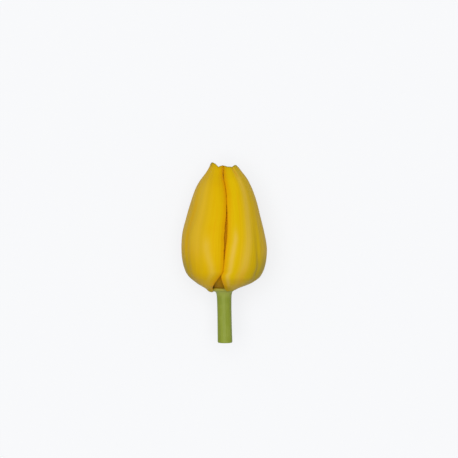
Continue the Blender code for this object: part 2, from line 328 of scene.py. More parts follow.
class Finish:
    """One material: a node tree round a Principled shader."""

    def __init__(self, name: str) -> None:
        """Starts a material.

        Args:
            name: the material's name.
        """
        self.material = bpy.data.materials.new(name)
        self.material.use_nodes = True
        self.tree = self.material.node_tree
        self.shader = self.tree.nodes["Principled BSDF"]

    def feed(self, socket: Socket, value: Socket | float | Sequence[float]) -> None:
        """Feeds an input.

        Args:
            socket: the input.
            value: a socket to link to it, or the number, vector or colour that it takes.
        """
        if isinstance(value, bpy.types.NodeSocket):
            self.tree.links.new(value, socket)
        elif isinstance(value, (int, float)):
            socket.default_value = value
        else:
            size = len(socket.default_value)
            socket.default_value = (*value, 1.0) if size == 4 and len(value) == 3 else tuple(value)

    def node(
        self, kind: str, *inputs: Socket | float | Sequence[float], **settings: object
    ) -> bpy.types.Node:
        """Adds a node.

        Args:
            kind: its type, without the leading ShaderNode.
            inputs: values or sockets for its first inputs, in order.
            settings: its own properties.

        Returns:
            The node.
        """
        made = self.tree.nodes.new("ShaderNode" + kind)
        for name, value in settings.items():
            setattr(made, name, value)
        for socket, value in zip(made.inputs, inputs):
            self.feed(socket, value)
        return made

    def maths(self, operation: str, *values: Socket | float) -> Socket:
        """The result of one sum on up to three values."""
        return self.node("Math", *values, operation=operation).outputs[0]

    def across_and_along(self) -> tuple[Socket, Socket]:
        """Finds where the surface is on its petal.

        Returns:
            The place from -1 to 1 across it, and from 0 to 1 along it.
        """
        place = self.node("UVMap", uv_map=PLACE_MAP).outputs[0]
        split = self.node("SeparateXYZ", place)
        return self.maths("MULTIPLY_ADD", split.outputs[0], 2.0, -1.0), split.outputs[1]

    def mark(self, tone: Tone) -> Socket:
        """The value of a tone painted on the mesh."""
        return self.node("Attribute", attribute_name=tone.value).outputs["Fac"]

    def object_place(self) -> Socket:
        """Where the surface is in space, in metres."""
        return self.node("TexCoord").outputs["Object"]

    def streaks(self, across: Socket, along: Socket, counts: tuple[float, float], seed: float) -> Socket:
        """Noise drawn out along the petal.

        Args:
            across: the place across the petal.
            along: the place along it.
            counts: how many streaks lie over half the petal's width, and how many over its length.
            seed: tells one set from another.

        Returns:
            A socket from about 0 to 1.
        """
        x = self.maths("MULTIPLY", across, counts[0])
        y = self.maths("MULTIPLY", along, counts[1])
        place = self.node("CombineXYZ", x, y, seed).outputs[0]
        return self.noise(place, 1.0)

    def noise(self, place: Socket, scale: float, detail: float = 2.0) -> Socket:
        """Adds cloudy noise.

        Args:
            place: where it is read.
            scale: how many clouds one unit of that place has.
            detail: how many finer layers it has.

        Returns:
            A socket from about 0 to 1.
        """
        made = self.node("TexNoise")
        self.feed(made.inputs["Vector"], place)
        self.feed(made.inputs["Scale"], scale)
        self.feed(made.inputs["Detail"], detail)
        return made.outputs[0]

    def ramp(self, value: Socket, low: float, high: float, first: float = 0.0, last: float = 1.0) -> Socket:
        """Eases from first to last as value goes from low to high."""
        made = self.node("MapRange", value, low, high, first, last, interpolation_type="SMOOTHSTEP")
        return made.outputs[0]

    def blend(self, share: Socket | float, first: Socket | Colour, second: Socket | Colour) -> Socket:
        """Mixes two colours.

        Args:
            share: the second's share.
            first: one colour.
            second: and the other.

        Returns:
            The mixed colour.
        """
        made = self.node("Mix", data_type="RGBA")
        self.feed(made.inputs[0], share)
        self.feed(made.inputs[6], first)
        self.feed(made.inputs[7], second)
        return made.outputs[2]

    def wash(self, under: Socket | Colour, pattern: Socket, wash: Wash, paint: Socket | Colour) -> Socket:
        """Lays paint over a colour as far as a pattern lets it.

        Args:
            under: the colour below.
            pattern: the value that the paint follows.
            wash: where it begins, where it is full, and its strength.
            paint: the colour laid over.

        Returns:
            The colour.
        """
        return self.blend(self.ramp(pattern, wash.begin, wash.full, 0.0, wash.strength), under, paint)

    def vary(self, value: Socket, middle: float, swing: float) -> Socket:
        """Turns a value from 0 to 1 into one that swings evenly about a middle."""
        return self.maths("MULTIPLY_ADD", value, swing, middle - swing / 2)

    def bump(self, height: Socket, depth: float, under: Socket | None = None) -> Socket:
        """Turns a height into a normal.

        Args:
            height: a value from 0 to 1.
            depth: how deep the relief is, in metres.
            under: the normal that it lies on, or none.

        Returns:
            The normal.
        """
        made = self.node("Bump")
        self.feed(made.inputs["Height"], height)
        self.feed(made.inputs["Distance"], depth)
        if under is not None:
            self.feed(made.inputs["Normal"], under)
        return made.outputs[0]

    def shade(self, **sockets: Socket | float | Sequence[float]) -> bpy.types.Material:
        """Sets the shader's inputs.

        Args:
            sockets: inputs by name, with underscores for spaces.

        Returns:
            The finished material.
        """
        for name, value in sockets.items():
            self.feed(self.shader.inputs[name.replace("_", " ")], value)
        return self.material


@dataclass(frozen=True)
class PetalFinish:
    """Waxy petal skin with veins that run from the foot to the edge, and painted sheen, painted glow and
    painted shade where its marks lie.
    """

    name: str
    seed: float
    ground: Colour = (0.735, 0.452, 0.0012)
    # A paler yellow that broad streaks and fibres lean to: random tone, and in the broad streaks partly
    # painted sheen.
    light: Colour = (0.755, 0.487, 0.009)
    # Painted sheen, laid where the pale marks lie.
    pale: Colour = (0.76, 0.50, 0.055)
    # Orange of the veins and blushes, and the painted glow and shadow where the warm marks lie.
    warm: Colour = (0.74, 0.34, 0.0008)
    # Painted shade, laid where the olive marks lie.
    olive: Colour = (0.29, 0.25, 0.004)
    foot: Colour = (0.545, 0.42, 0.003)
    # Counts across half a petal and along all of it.
    broad_streaks: tuple[float, float] = (6.0, 1.3)
    veins: tuple[float, float] = (38.0, 2.5)
    fibres: tuple[float, float] = (120.0, 9.0)
    vein_seed: float = 7.0
    fibre_seed: float = 13.0
    # Spots in a metre.
    cells: float = 4200.0
    blushes: float = 140.0
    # Where each paint sets in over its pattern, and how strongly.
    broad_wash: Wash = Wash(0.48, 0.78, 0.45)
    vein_wash: Wash = Wash(0.52, 0.74, 0.28)
    fibre_wash: Wash = Wash(0.5, 0.8, 0.14)
    blush_wash: Wash = Wash(0.52, 0.8, 0.12)
    foot_wash: Wash = Wash(0.10, 0.0, 0.4)
    # How far the veins fray a streak, how far the fibres roughen the skin, and depths in metres.
    raggedness: float = 0.7
    roughness: float = 0.5
    roughness_swing: float = 0.16
    vein_depth: float = 0.00004
    fibre_depth: float = 0.000016
    cell_depth: float = 0.0000048

    def make(self) -> bpy.types.Material:
        """Builds the material.

        Returns:
            The material.
        """
        skin = Finish(self.name)
        across, along = skin.across_and_along()
        broad = skin.streaks(across, along, self.broad_streaks, self.seed)
        veins = skin.streaks(across, along, self.veins, self.seed + self.vein_seed)
        fibres = skin.streaks(across, along, self.fibres, self.seed + self.fibre_seed)
        place = skin.object_place()
        cells = skin.noise(place, self.cells)
        blush = skin.noise(place, self.blushes, detail=3.0)

        # Broad streaks and fibres lean to the paler yellow: random tone, partly painted sheen.
        colour = skin.wash(self.ground, broad, self.broad_wash, self.light)
        colour = skin.wash(colour, veins, self.vein_wash, self.warm)
        colour = skin.wash(colour, fibres, self.fibre_wash, self.light)
        colour = skin.wash(colour, blush, self.blush_wash, self.warm)
        # Painted sheen, painted glow and shadow, and painted shade, as far as the marks reach, frayed by the
        # veins.
        for tone, paint in ((Tone.PALE, self.pale), (Tone.WARM, self.warm), (Tone.OLIVE, self.olive)):
            ragged = skin.vary(veins, 1.0, self.raggedness)
            share = skin.maths("MULTIPLY", skin.mark(tone), ragged)
            colour = skin.blend(skin.maths("MINIMUM", share, 1.0), colour, paint)
        colour = skin.wash(colour, along, self.foot_wash, self.foot)

        rough = skin.vary(fibres, self.roughness, self.roughness_swing)
        normal = skin.bump(veins, self.vein_depth)
        normal = skin.bump(fibres, self.fibre_depth, normal)
        normal = skin.bump(cells, self.cell_depth, normal)
        return skin.shade(
            Base_Color=colour,
            Roughness=rough,
            Normal=normal,
            Specular_IOR_Level=0.16,
            Specular_Tint=(1.0, 0.72, 0.12),
        )


@dataclass(frozen=True)
class InnerPetalFinish(PetalFinish):
    """Skin of a hidden petal: deeper orange yellow, painted glow where it shows through the seams, and dark
    amber towards its foot, painted shade in the gap above the stem.
    """

    # A deeper orange yellow: painted glow of light through the petals, where this petal shows in the seams.
    ground: Colour = (0.68, 0.38, 0.001)
    pale: Colour = (0.70, 0.44, 0.02)
    # Strong orange: painted glow where the warm marks lie.
    warm: Colour = (0.84, 0.27, 0.0006)
    # Dark amber towards the foot: painted shade in the gap above the stem.
    foot: Colour = (0.30, 0.14, 0.0008)
    foot_wash: Wash = Wash(0.20, 0.0, 0.95)


@dataclass(frozen=True)
class StemFinish:
    """Smooth green stem with fine lengthwise lines and a whitish bloom, amber at its top, partly its own
    tone and partly painted shade of the petals' feet, and a pale wet cut.
    """

    name: str = "stem_skin"
    ground: Colour = (0.255, 0.315, 0.030)
    pale: Colour = (0.31, 0.37, 0.058)
    dark: Colour = (0.20, 0.25, 0.032)
    neck: Colour = (0.37, 0.40, 0.09)
    crown: Colour = (0.38, 0.37, 0.045)
    # Amber where the petals meet the stem: partly its own tone and partly painted shade of their feet.
    amber: Colour = (0.40, 0.25, 0.004)
    flesh: Colour = (0.50, 0.56, 0.22)
    bundle: Colour = (0.24, 0.32, 0.07)
    # How far the lines are drawn out up the stem, and how many lines and spots a metre has.
    drawn_out: tuple[float, float, float] = (1.0, 0.05, 1.0)
    lines: float = 1500.0
    fine_lines: float = 5200.0
    bloom: float = 260.0
    cells: float = 5200.0
    bundles: float = 1150.0
    clouds: float = 900.0
    # Where each paint sets in over its pattern, and how strongly.
    line_wash: Wash = Wash(0.45, 0.75, 0.55)
    fine_wash: Wash = Wash(0.45, 0.8, 0.35)
    bloom_wash: Wash = Wash(0.45, 0.75, 0.45)
    neck_wash: Wash = Wash(0.72, 0.90, 0.8)
    crown_wash: Wash = Wash(0.85, 0.91, 0.95)
    cloud_wash: Wash = Wash(0.4, 0.7, 0.5)
    # The bundles in the cut: where a dot's edge begins and ends, and how strong the dot is.
    dot_edge: Span = (0.16, 0.34)
    dot_strength: float = 0.8
    roughness: float = 0.45
    roughness_swing: float = 0.2
    # Roughness of the cut where its clouds are thin and where they are thick.
    cut_clouds: Span = (0.3, 0.7)
    cut_roughness: Span = (0.25, 0.5)
    # Depths in metres.
    line_depth: float = 0.00007
    fine_depth: float = 0.00002
    cell_depth: float = 0.000006
    cloud_depth: float = 0.0001
    dot_depth: float = 0.00008

    def make(self) -> bpy.types.Material:
        """Builds the material.

        Returns:
            The material.
        """
        skin = Finish(self.name)
        along = skin.across_and_along()[1]
        place = skin.object_place()
        drawn_out = skin.node("Mapping", place)
        skin.feed(drawn_out.inputs["Scale"], self.drawn_out)
        lines = skin.noise(drawn_out.outputs[0], self.lines)
        fine = skin.noise(drawn_out.outputs[0], self.fine_lines, detail=1.0)
        bloom = skin.noise(place, self.bloom, detail=3.0)
        cells = skin.noise(place, self.cells)

        colour = skin.wash(self.ground, lines, self.line_wash, self.dark)
        colour = skin.wash(colour, fine, self.fine_wash, self.pale)
        colour = skin.wash(colour, bloom, self.bloom_wash, self.pale)
        colour = skin.wash(colour, along, self.neck_wash, self.neck)
        colour = skin.wash(colour, along, self.crown_wash, self.crown)
        # Amber at the top, where the warm marks lie: partly its own tone and partly painted shade of the
        # petals' feet.
        colour = skin.blend(skin.mark(Tone.WARM), colour, self.amber)

        rough = skin.vary(bloom, self.roughness, self.roughness_swing)
        normal = skin.bump(lines, self.line_depth)
        normal = skin.bump(fine, self.fine_depth, normal)
        normal = skin.bump(cells, self.cell_depth, normal)
        return skin.shade(Base_Color=colour, Roughness=rough, Normal=normal, Specular_IOR_Level=0.2)

    def make_cut(self) -> bpy.types.Material:
        """Builds the material of the cut end: moist flesh with scattered bundles.

        Returns:
            The material.
        """
        cut = Finish(self.name + "_cut")
        place = cut.object_place()
        spots = cut.node("TexVoronoi", feature="F1")
        cut.feed(spots.inputs["Vector"], place)
        cut.feed(spots.inputs["Scale"], self.bundles)
        dots = cut.ramp(spots.outputs["Distance"], *self.dot_edge, first=1.0, last=0.0)
        clouds = cut.noise(place, self.clouds, detail=3.0)
        colour = cut.wash(self.flesh, clouds, self.cloud_wash, self.pale)
        colour = cut.blend(cut.maths("MULTIPLY", dots, self.dot_strength), colour, self.bundle)
        return cut.shade(
            Base_Color=colour,
            Roughness=cut.ramp(clouds, *self.cut_clouds, *self.cut_roughness),
            Normal=cut.bump(dots, self.dot_depth, cut.bump(clouds, self.cloud_depth)),
        )


@dataclass(frozen=True)
class GrainFinish:
    """A soft plant surface with clouds of a second colour and a grain."""

    name: str
    ground: Colour
    clouds: Colour
    cloud_scale: float
    grain_scale: float
    grain_depth: float
    roughness: float
    roughness_swing: float = 0.2
    cloud_wash: Wash = Wash(0.4, 0.65, 1.0)

    def make(self) -> bpy.types.Material:
        """Builds the material.

        Returns:
            The material.
        """
        skin = Finish(self.name)
        place = skin.object_place()
        clouds = skin.noise(place, self.cloud_scale, detail=3.0)
        grain = skin.noise(place, self.grain_scale)
        colour = skin.wash(self.ground, clouds, self.cloud_wash, self.clouds)
        rough = skin.vary(grain, self.roughness, self.roughness_swing)
        return skin.shade(Base_Color=colour, Roughness=rough, Normal=skin.bump(grain, self.grain_depth))


class Slot(Enum):
    """The record's material slots."""

    PETAL = "petal_yellow"
    INNER_PETAL = "inner_petal_yellow"
    STEM = "stem_green"
    FILAMENT = "filament_cream"
    POLLEN = "pollen_yellow"
    PISTIL = "pistil_green"


class Skin:
    """Collects the points and faces of one closed piece, with the place and the marks of each point."""

    def __init__(self, axis: FlowerAxis) -> None:
        """Starts an empty skin.

        Args:
            axis: the flower's axis, round which it is shaped.
        """
        self.axis = axis
        self.mesh = bmesh.new()
        self.map = self.mesh.loops.layers.uv.new(PLACE_MAP)
        self.tones = {tone: self.mesh.verts.layers.float.new(tone.value) for tone in Tone}
        self.places: dict[Point, tuple[float, float]] = {}

    def point(
        self, place: Vector, across: float, along: float, marks: dict[Tone, float] | None = None
    ) -> Point:
        """Adds a point of the flower frame.

        Args:
            place: where it is, in millimetres.
            across: its place across the petal or round the stem, from -1 to 1.
            along: its place from the foot to the edge, from 0 to 1.
            marks: values of the tones painted on it.

        Returns:
            The point.
        """
        made = self.mesh.verts.new(self.axis.place(place))
        self.places[made] = ((across + 1) / 2, along)
        for tone, value in (marks or {}).items():
            made[self.tones[tone]] = value
        return made

    def face(self, corners: Sequence[Point], material: int = 0) -> None:
        """Adds a face.

        Args:
            corners: its points, anticlockwise seen from outside.
            material: index of its material.
        """
        made = self.mesh.faces.new(corners)
        made.smooth = True
        made.material_index = material
        for loop in made.loops:
            loop[self.map].uv = self.places[loop.vert]

    def quilt(
        self,
        rows: Sequence[Sequence[Point]],
        closed: bool = False,
        flip: bool = False,
        material: int = 0,
    ) -> None:
        """Joins rows of points with four-sided faces.

        Args:
            rows: rows from the foot up, each running towards rising azimuths.
            closed: whether each row closes on itself.
            flip: whether the faces look inwards.
            material: index of their material.
        """
        for low, high in zip(rows, rows[1:]):
            count = len(low) if closed else len(low) - 1
            for i in range(count):
                after = (i + 1) % len(low)
                corners = (low[i], low[after], high[after], high[i])
                self.face(corners[::-1] if flip else corners, material)

    def tube(self, rows: Sequence[Sequence[Point]]) -> None:
        """Joins closed rows of points, and closes the first and the last of them.

        Args:
            rows: rows from the foot up, each running towards rising azimuths.
        """
        self.quilt(rows, closed=True)
        self.face(rows[0][::-1])
        self.face(rows[-1])

    def fan(self, middle: Point, rim: Sequence[Point], flip: bool = False, material: int = 0) -> None:
        """Closes a ring of points round a middle one.

        Args:
            middle: the point in the middle.
            rim: the ring, towards rising azimuths.
            flip: whether the faces look down the stem.
            material: index of their material.
        """
        for i, corner in enumerate(rim):
            after = rim[(i + 1) % len(rim)]
            self.face((middle, after, corner) if flip else (middle, corner, after), material)

    def finish(
        self, name: str, nodes: Sequence[str], slot: Slot, materials: Sequence[bpy.types.Material]
    ) -> bpy.types.Object:
        """Makes the piece, rides it on the flower and reports it.

        Args:
            name: the piece's name.
            nodes: the CAD nodes that it stands for.
            slot: the record's slot; not used.
            materials: its materials, in the order of its faces' indices.

        Returns:
            The piece.
        """
        data = bpy.data.meshes.new(name)
        self.mesh.to_mesh(data)
        self.mesh.free()
        for material in materials:
            data.materials.append(material)
        made = bpy.data.objects.new(name, data)
        bpy.context.scene.collection.objects.link(made)
        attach(made, BODY)
        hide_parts(*nodes)
        log.info("%s: %d faces for %s", name, len(data.polygons), ", ".join(nodes))
        return made


@dataclass(frozen=True)
class Margin:
    """One long edge of a petal.

    It follows its seam up from the parting, below which it sweeps to the foot's azimuth. Azimuths are in
    degrees and the rest is in millimetres. The parting and the rounded-off corner are shares of the outline.
    """

    seam: float
    foot: float
    foot_power: float = 2.0
    lobe: float = 0.0
    parting: float = 0.235
    corner: float = 0.0
    gapes: bool = False
    waviness: float = 0.12


@dataclass(frozen=True)
class Petal:
    """One petal between two margins, in millimetres.

    Its end gives the height of the upper edge at places across it, from -1 to 1, and its fullness how much
    further out than the outline it stands at a height.
    """

    name: str
    node: str
    low: Margin
    high: Margin
    end: tuple[Knot, ...]
    seed: float
    fullness: Profile = Profile(((0.0, 0.0), (1.0, 0.0)))
    # How far out it bulges low down, how far in its tip leans, and whether its high corner is tucked in.
    pouch: float = 0.0
    curl: float = 0.0
    tucks: bool = False
    # The midrib's furrow: its place across, its depth, and how far it bends at the foot.
    furrow: float = 0.0
    furrow_depth: float = 0.45
    furrow_bend: float = 0.0
    # Place of the crease at the tip, if there is one.
    crease: float | None = None
    ground: Colour = (0.735, 0.456, 0.0012)
    # Painted streaks: sheen, glow and shade.
    streaks: tuple[Streak, ...] = ()
    # Where a rounded corner of the foot begins, across the petal.
    corner_start: float = 0.55
    # Painted shade: a dark olive line and haze along the upper edge, made uneven; and painted orange glow
    # along the sides, stronger beside a gaping seam.
    rim_shade_line: Hump = Hump(0.6, 0.25)
    rim_shade_haze: Hump = Hump(0.16, 2.2)
    rim_shade_unevenness: Ripples = Ripples(0.6, 9.0, 0.4, 31.0)
    gaping_side_glow: Hump = Hump(0.75, 1.7)
    side_glow: Hump = Hump(0.35, 1.7)
    side_glow_line: Hump = Hump(0.3, 0.4)

    @property
    def half_angle(self) -> float:
        """Half of its azimuth range above the foot, in radians."""
        return math.radians(self.high.seam - self.low.seam) / 2

    def near_margin(self, across: float) -> Margin:
        """The long edge on this side of the middle."""
        return self.high if across > 0 else self.low

    def foot_corner(self, across: float) -> float:
        """Share of the outline that is rounded off at the foot here."""
        to_margin = (abs(across) - self.corner_start) / (1 - self.corner_start)
        return self.near_margin(across).corner * max(0.0, to_margin) ** 2

    def marks(self, across: float, height: float, to_side: float, to_end: float) -> dict[Tone, float]:
        """Values of every painted mark at a place: sheen, glow and shade.

        Args:
            across: the place across the petal.
            height: its height in the flower frame.
            to_side: distance from the nearer long edge.
            to_end: distance from the upper edge.

        Returns:
            A value for each tone.
        """
        values = {tone: 0.0 for tone in Tone}
        for streak in self.streaks:
            values[streak.tone] += streak.at(across, height)
        # Painted shade along the upper edge, made uneven.
        uneven = 1 + self.rim_shade_unevenness.at(across, height, self.seed)
        values[Tone.OLIVE] += (self.rim_shade_line.at(to_end) + self.rim_shade_haze.at(to_end)) * uneven
        # Painted orange glow along the sides.
        glow = self.gaping_side_glow if self.near_margin(across).gapes else self.side_glow
        values[Tone.WARM] += glow.at(to_side) + self.side_glow_line.at(to_side)
        return values


@dataclass(frozen=True)
class Cup:
    """What the petals of one flower share: the seams, the table they lie on and how their edges run.

    Lengths and heights are in millimetres and azimuths in degrees.
    """

    # The gap between two margins: narrower near the foot and towards the tips, and open in the front seam.
    seam_gap: float = 0.3
    foot_closing: float = 0.8
    foot_span: Span = (16.0, 10.0)
    tip_closing: float = 0.5
    tip_span: Span = (30.0, 42.0)
    opening: Hump = Hump(1.1, 7.0, 25.0)
    # Waves of a margin: their share of its waviness, their pace up it and their seed.
    waves: tuple[tuple[float, float, float], ...] = ((1.0, 0.28, 3.7), (0.5, 0.9, 9.1))
    # The short bend of the front seam, over heights and over azimuths.
    bend: Hump = Hump(1.8, 1.1, 7.6)
    bend_width: float = 25.0
    table_depth: float = 19.2
    # Azimuths and heights of the front seam.
    seam_path: Curve = Curve(
        (
            (-6.2, -2.5), (-5.6, 5.0), (-0.3, 10.0), (0.7, 14.0), (2.0, 19.0),
            (3.4, 26.0), (5.4, 35.0), (4.6, 45.0), (-1.6, 51.5), (-4.5, 58.0),
        )
    )

    def margin_azimuth(
        self, margin: Margin, inward: int, share: float, radius: float, height: float
    ) -> float:
        """Azimuth of a margin, half a seam gap inside the seam.

        Args:
            margin: the margin.
            inward: 1 or -1, the way to the petal's middle.
            share: share of the outline's length.
            radius: the outline's radius there.
            height: and its height.

        Returns:
            The azimuth in degrees.
        """
        swept = max(0.0, 1 - share / margin.parting) ** margin.foot_power
        loose = 1 - self.foot_closing * ease(height, *self.foot_span)
        gap = self.seam_gap * (1 - self.tip_closing * ease(height, *self.tip_span)) * loose
        if margin.gapes:
            gap += self.opening.at(height)
        wave = 0.0
        for part, pace, seed in self.waves:
            wave += loose * margin.waviness * part * ripple(height * pace, margin.seam, inward * seed)
        azimuth = margin.seam + (margin.foot - margin.seam) * swept
        return azimuth + inward * math.degrees((gap / 2 + wave) / radius)

    def azimuth(self, petal: Petal, across: float, share: float, radius: float, height: float) -> float:
        """Azimuth of a point of a petal, where the front ones follow the front seam sideways.

        Args:
            petal: the petal.
            across: the place across the petal, from -1 to 1.
            share: share of the outline's length.
            radius: the outline's radius there.
            height: and its height.

        Returns:
            The azimuth in degrees.
        """
        low = self.margin_azimuth(petal.low, 1, share, radius, height)
        high = self.margin_azimuth(petal.high, -1, share, radius, height)
        azimuth = low + (high - low) * (across + 1) / 2
        sway = self.seam_path.at(self.seam_path.share_at_height(height)).x
        bend = self.bend.at(height) * bell(azimuth, self.bend_width)
        return azimuth + bend + sway * (1 + math.cos(math.radians(azimuth))) / 2

    def press(self, point: Vector) -> Vector:
        """Flattens what would reach below the table."""
        return Vector((point.x, min(point.y, self.table_depth), point.z))


@dataclass(frozen=True)
class Whorl:
    """A ring of three petals of the same outline, which gives radius and height from the foot to the tip.

    The thickness is that of a petal's middle. Lengths are in millimetres, and shares are of the outline.
    """

    cup: Cup
    axis: FlowerAxis
    outline: Curve
    petals: tuple[Petal, ...]
    slot: Slot = Slot.PETAL
    thickness: float = 0.9
    cells_across: int = 168
    cells_along: int = 130
    # How much columns crowd towards the margins, where the edge turns over, and rows towards the foot.
    margin_crowding: float = 0.4
    foot_crowding: float = 0.5
    # Where the petal leaves its root.
    root_share: float = 0.235
    # Thickness: thin and round at the edges, thinner towards them, fleshy at the foot.
    edge_thickness: float = 0.14
    edge_roundness: float = 1.3
    thinning: float = 0.45
    thinning_power: int = 3
    fleshiness: float = 0.5
    fleshy_share: float = 0.14
    # Relief of a grown petal, outwards, and the heights over which it sets in and calms down.
    hollow: float = 0.12
    broad: Ripples = Ripples(0.26, 1.9, 0.035)
    flutes: Ripples = Ripples(0.13, 7.0, 0.03, 4.0)
    veins: Ripples = Ripples(0.05, 26.0, 0.02, 12.0)
    dents: Ripples = Ripples(0.05, 6.0, 0.22, 8.0)
    relief_start: Span = (1.0, 9.0)
    relief_end: Span = (50.0, 58.0)
    relief_loss: float = 0.6
    vein_start: Span = (-1.0, 2.0)
    # Unevenness of the upper edge.
    raggedness: float = 1.0
    coarse_fray: Ripples = Ripples(0.16, 7.0, 1.5)
    fine_fray: Ripples = Ripples(0.05, 21.0, 4.5)

    def surface(self, petal: Petal, across: float, share: float) -> Vector:
        """A point of the petal's outer face, in the flower frame."""
        raise NotImplementedError

    def dress(self, petal: Petal) -> bpy.types.Material:
        """The material of one petal."""
        raise NotImplementedError

    def relief(self, petal: Petal, across: float, height: float) -> float:
        """Soft flutes, veins and dents of a grown petal.

        Args:
            petal: the petal.
            across: the place across the petal, from -1 to 1.
            height: the height there.

        Returns:
            How far they stand out, in millimetres.
        """
        soft = sum(part.at(across, height, petal.seed) for part in (self.broad, self.flutes, self.dents))
        shown = ease(height, *self.relief_start) * (1 - self.relief_loss * ease(height, *self.relief_end))
        veins = self.veins.at(across, height, petal.seed) * ease(height, *self.vein_start)
        return (soft - self.hollow) * shown + veins

    def depth(self, to_side: float, to_end: float, across: float, share: float) -> float:
        """Thickness at a point: round at the edges, fleshy at the foot.

        Args:
            to_side: distance from the nearer long edge, in millimetres.
            to_end: distance from the upper edge.
            across: the place across the petal.
            share: share of the outline's length.

        Returns:
            The thickness in millimetres.
        """
        inside = min(1.0, min(to_side, to_end) / self.edge_roundness)
        rounded = math.sqrt(max(0.0, 1 - (1 - inside) ** 2))
        thinned = 1 - self.thinning * max(abs(across), share) ** self.thinning_power
        fleshy = 1 + self.fleshiness * (1 - ease(share, 0.0, self.fleshy_share))
        full = self.thickness * thinned * fleshy
        return self.edge_thickness + (full - self.edge_thickness) * rounded

    def build_petal(self, petal: Petal) -> bpy.types.Object:
        """Builds and dresses one petal as a closed sheet.

        Args:
            petal: its sizes.

        Returns:
            The piece.
        """
        crowding = self.margin_crowding
        evenly = [2 * i / self.cells_across - 1 for i in range(self.cells_across + 1)]
        columns = [math.sin(c * math.pi / 2) * crowding + c * (1 - crowding) for c in evenly]
        steps = [j / self.cells_along for j in range(self.cells_along + 1)]
        alongs = [t * (1 - self.foot_crowding * (1 - t)) for t in steps]
        edge = Profile(petal.end)
        ends = [self.outline.share_at_height(edge.at(c) + self.fray(petal, c)) for c in columns]
        starts = [petal.foot_corner(c) for c in columns]
        lines = list(zip(columns, starts, ends))
        grid = [[self.surface(petal, c, low + (high - low) * a) for c, low, high in lines] for a in alongs]
        skin = Skin(self.axis)
        outer, inner = [], []
        for j, along in enumerate(alongs):
            outer_row, inner_row = [], []
            for i, across in enumerate(columns):
                here = grid[j][i]
                right = grid[j][min(i + 1, self.cells_across)] - grid[j][max(i - 1, 0)]
                upward = grid[min(j + 1, self.cells_along)][i] - grid[max(j - 1, 0)][i]
                normal = right.cross(upward).normalized()
                share = starts[i] + (ends[i] - starts[i]) * along
                to_side = (1 - abs(across)) * petal.half_angle * self.outline.at(share).x
                to_end = (ends[i] - share) * self.outline.length
                depth = self.depth(to_side, to_end, across, share)
                marks = petal.marks(across, here.z, to_side, to_end)
                pressed = self.cup.press(here)
                outer_row.append(skin.point(pressed, across, along, marks))
                inner_row.append(skin.point(pressed - normal * depth, across, along, marks))
            outer.append(outer_row)
            inner.append(inner_row)
        skin.quilt(outer)
        skin.quilt(inner, flip=True)
        skin.quilt([self.rim(inner), self.rim(outer)], closed=True)
        return skin.finish(petal.name, [petal.node], self.slot, [self.dress(petal)])

    def fray(self, petal: Petal, across: float) -> float:
        """Small unevenness of the upper edge, in millimetres."""
        fray = sum(part.at(across, 1.0, petal.seed) for part in (self.coarse_fray, self.fine_fray))
        return self.raggedness * fray

    def rim(self, rows: Sequence[Sequence[Point]]) -> list[Point]:
        """Finds the edge of a grid of points.

        Args:
            rows: the rows of the grid, from the foot up.

        Returns:
            The points round it, anticlockwise.
        """
        right = [row[-1] for row in rows[1:]]
        left = [row[0] for row in rows[-2:0:-1]]
        return list(rows[0]) + right + list(rows[-1][-2::-1]) + left

    def build(self) -> list[bpy.types.Object]:
        """Builds and dresses every petal of the whorl."""
        return [self.build_petal(petal) for petal in self.petals]


